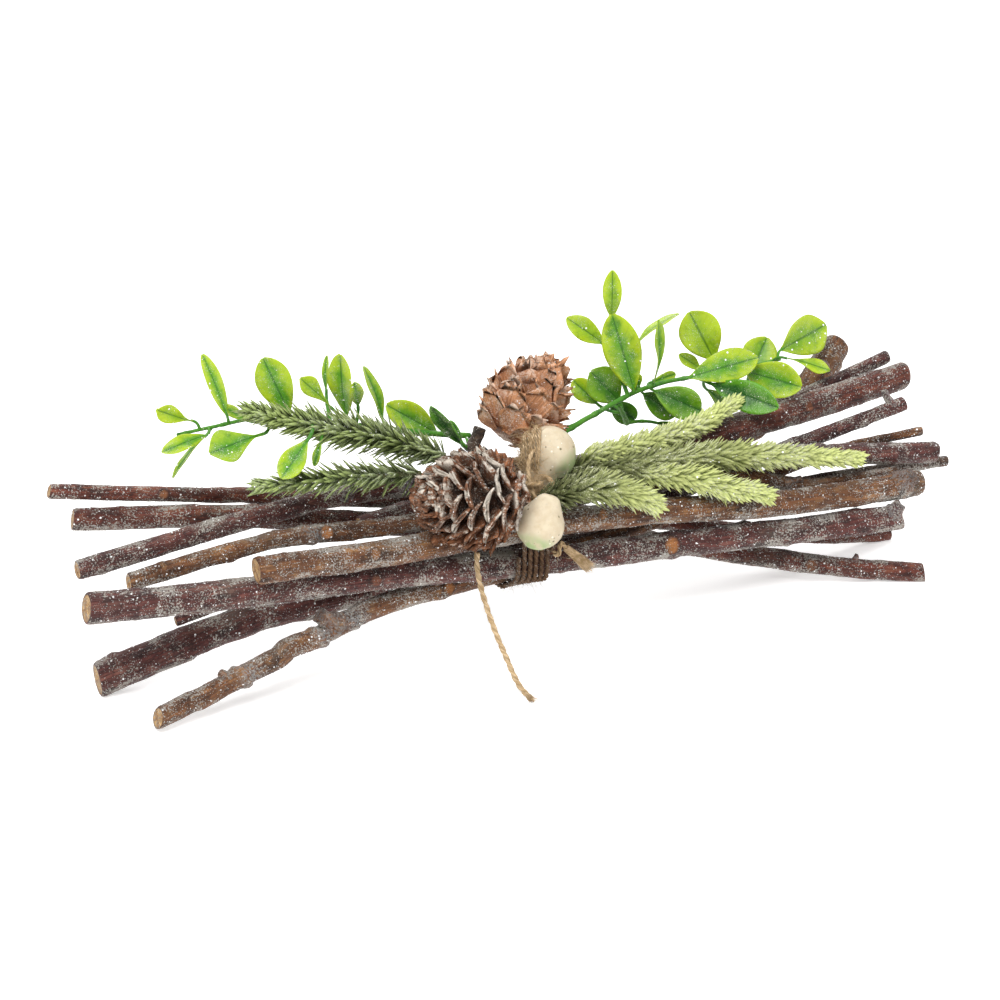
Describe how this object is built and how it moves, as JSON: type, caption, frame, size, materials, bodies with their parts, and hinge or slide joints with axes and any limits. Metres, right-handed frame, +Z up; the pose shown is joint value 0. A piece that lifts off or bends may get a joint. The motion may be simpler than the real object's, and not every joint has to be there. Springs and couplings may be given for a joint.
{
  "type": "decorated bundle of twigs",
  "caption": "Bundle of cut twigs tied at the waist with jute twine, lying down, with small cones, cream berries, fir and boxwood sprigs, lightly frosted.",
  "frame": {"origin": "under the middle of the bundle's outline, on the surface that it lies on", "axes": "+X along the twigs, +Z up, -Y the side that the cones and berries face"},
  "size_m": [0.2965, 0.1013, 0.1021],
  "materials": {
    "bark": "matt rough bark with frost and glitter",
    "jute": "hairy twisted jute",
    "dark_cone": "dark woody scales with frosted tips",
    "pale_cone": "tan papery scales",
    "berry": "waxy cream",
    "fir": "matt moulded needles, frosted",
    "boxwood_stem": "smooth green",
    "boxwood_leaf": "satin leaf with light frost"
  },
  "bodies": {
    "root": {"twig_01": "bark", "twig_02": "bark", "twig_03": "bark", "twig_04": "bark", "twig_05": "bark", "twig_06": "bark", "twig_07": "bark", "twig_08": "bark", "twig_09": "bark", "twig_10": "bark", "twig_11": "bark", "twig_12": "bark", "twine_wrap": "jute", "twine_knot": "jute", "twine_tail_long": "jute", "cone_front": "dark_cone", "cone_top": "pale_cone", "cone_stalk": "bark", "berry_upper": "berry", "berry_lower": "berry", "fir_left_main": "fir", "fir_left_lower": "fir", "fir_right_main": "fir", "fir_right_upper": "fir", "fir_right_lower": "fir", "fir_right_tuft": "fir", "box_stem_left": "boxwood_stem", "box_stem_right": "boxwood_stem", "box_stem_right_side": "boxwood_stem", "box_leaf_left_01": "boxwood_leaf", "box_leaf_left_02": "boxwood_leaf", "box_leaf_left_03": "boxwood_leaf", "box_leaf_left_04": "boxwood_leaf", "box_leaf_left_05": "boxwood_leaf", "box_leaf_left_06": "boxwood_leaf", "box_leaf_left_07": "boxwood_leaf", "box_leaf_left_08": "boxwood_leaf", "box_leaf_left_09": "boxwood_leaf", "box_leaf_left_10": "boxwood_leaf", "box_leaf_left_11": "boxwood_leaf", "box_leaf_left_12": "boxwood_leaf", "box_leaf_left_13": "boxwood_leaf", "box_leaf_right_01": "boxwood_leaf", "box_leaf_right_02": "boxwood_leaf", "box_leaf_right_03": "boxwood_leaf", "box_leaf_right_04": "boxwood_leaf", "box_leaf_right_05": "boxwood_leaf", "box_leaf_right_06": "boxwood_leaf", "box_leaf_right_07": "boxwood_leaf", "box_leaf_right_08": "boxwood_leaf", "box_leaf_right_09": "boxwood_leaf", "box_leaf_right_10": "boxwood_leaf", "box_leaf_right_11": "boxwood_leaf", "box_leaf_right_12": "boxwood_leaf", "box_leaf_right_13": "boxwood_leaf", "box_leaf_right_14": "boxwood_leaf", "box_leaf_right_15": "boxwood_leaf", "box_leaf_right_16": "boxwood_leaf", "box_leaf_right_17": "boxwood_leaf"}
  },
  "joints": []
}
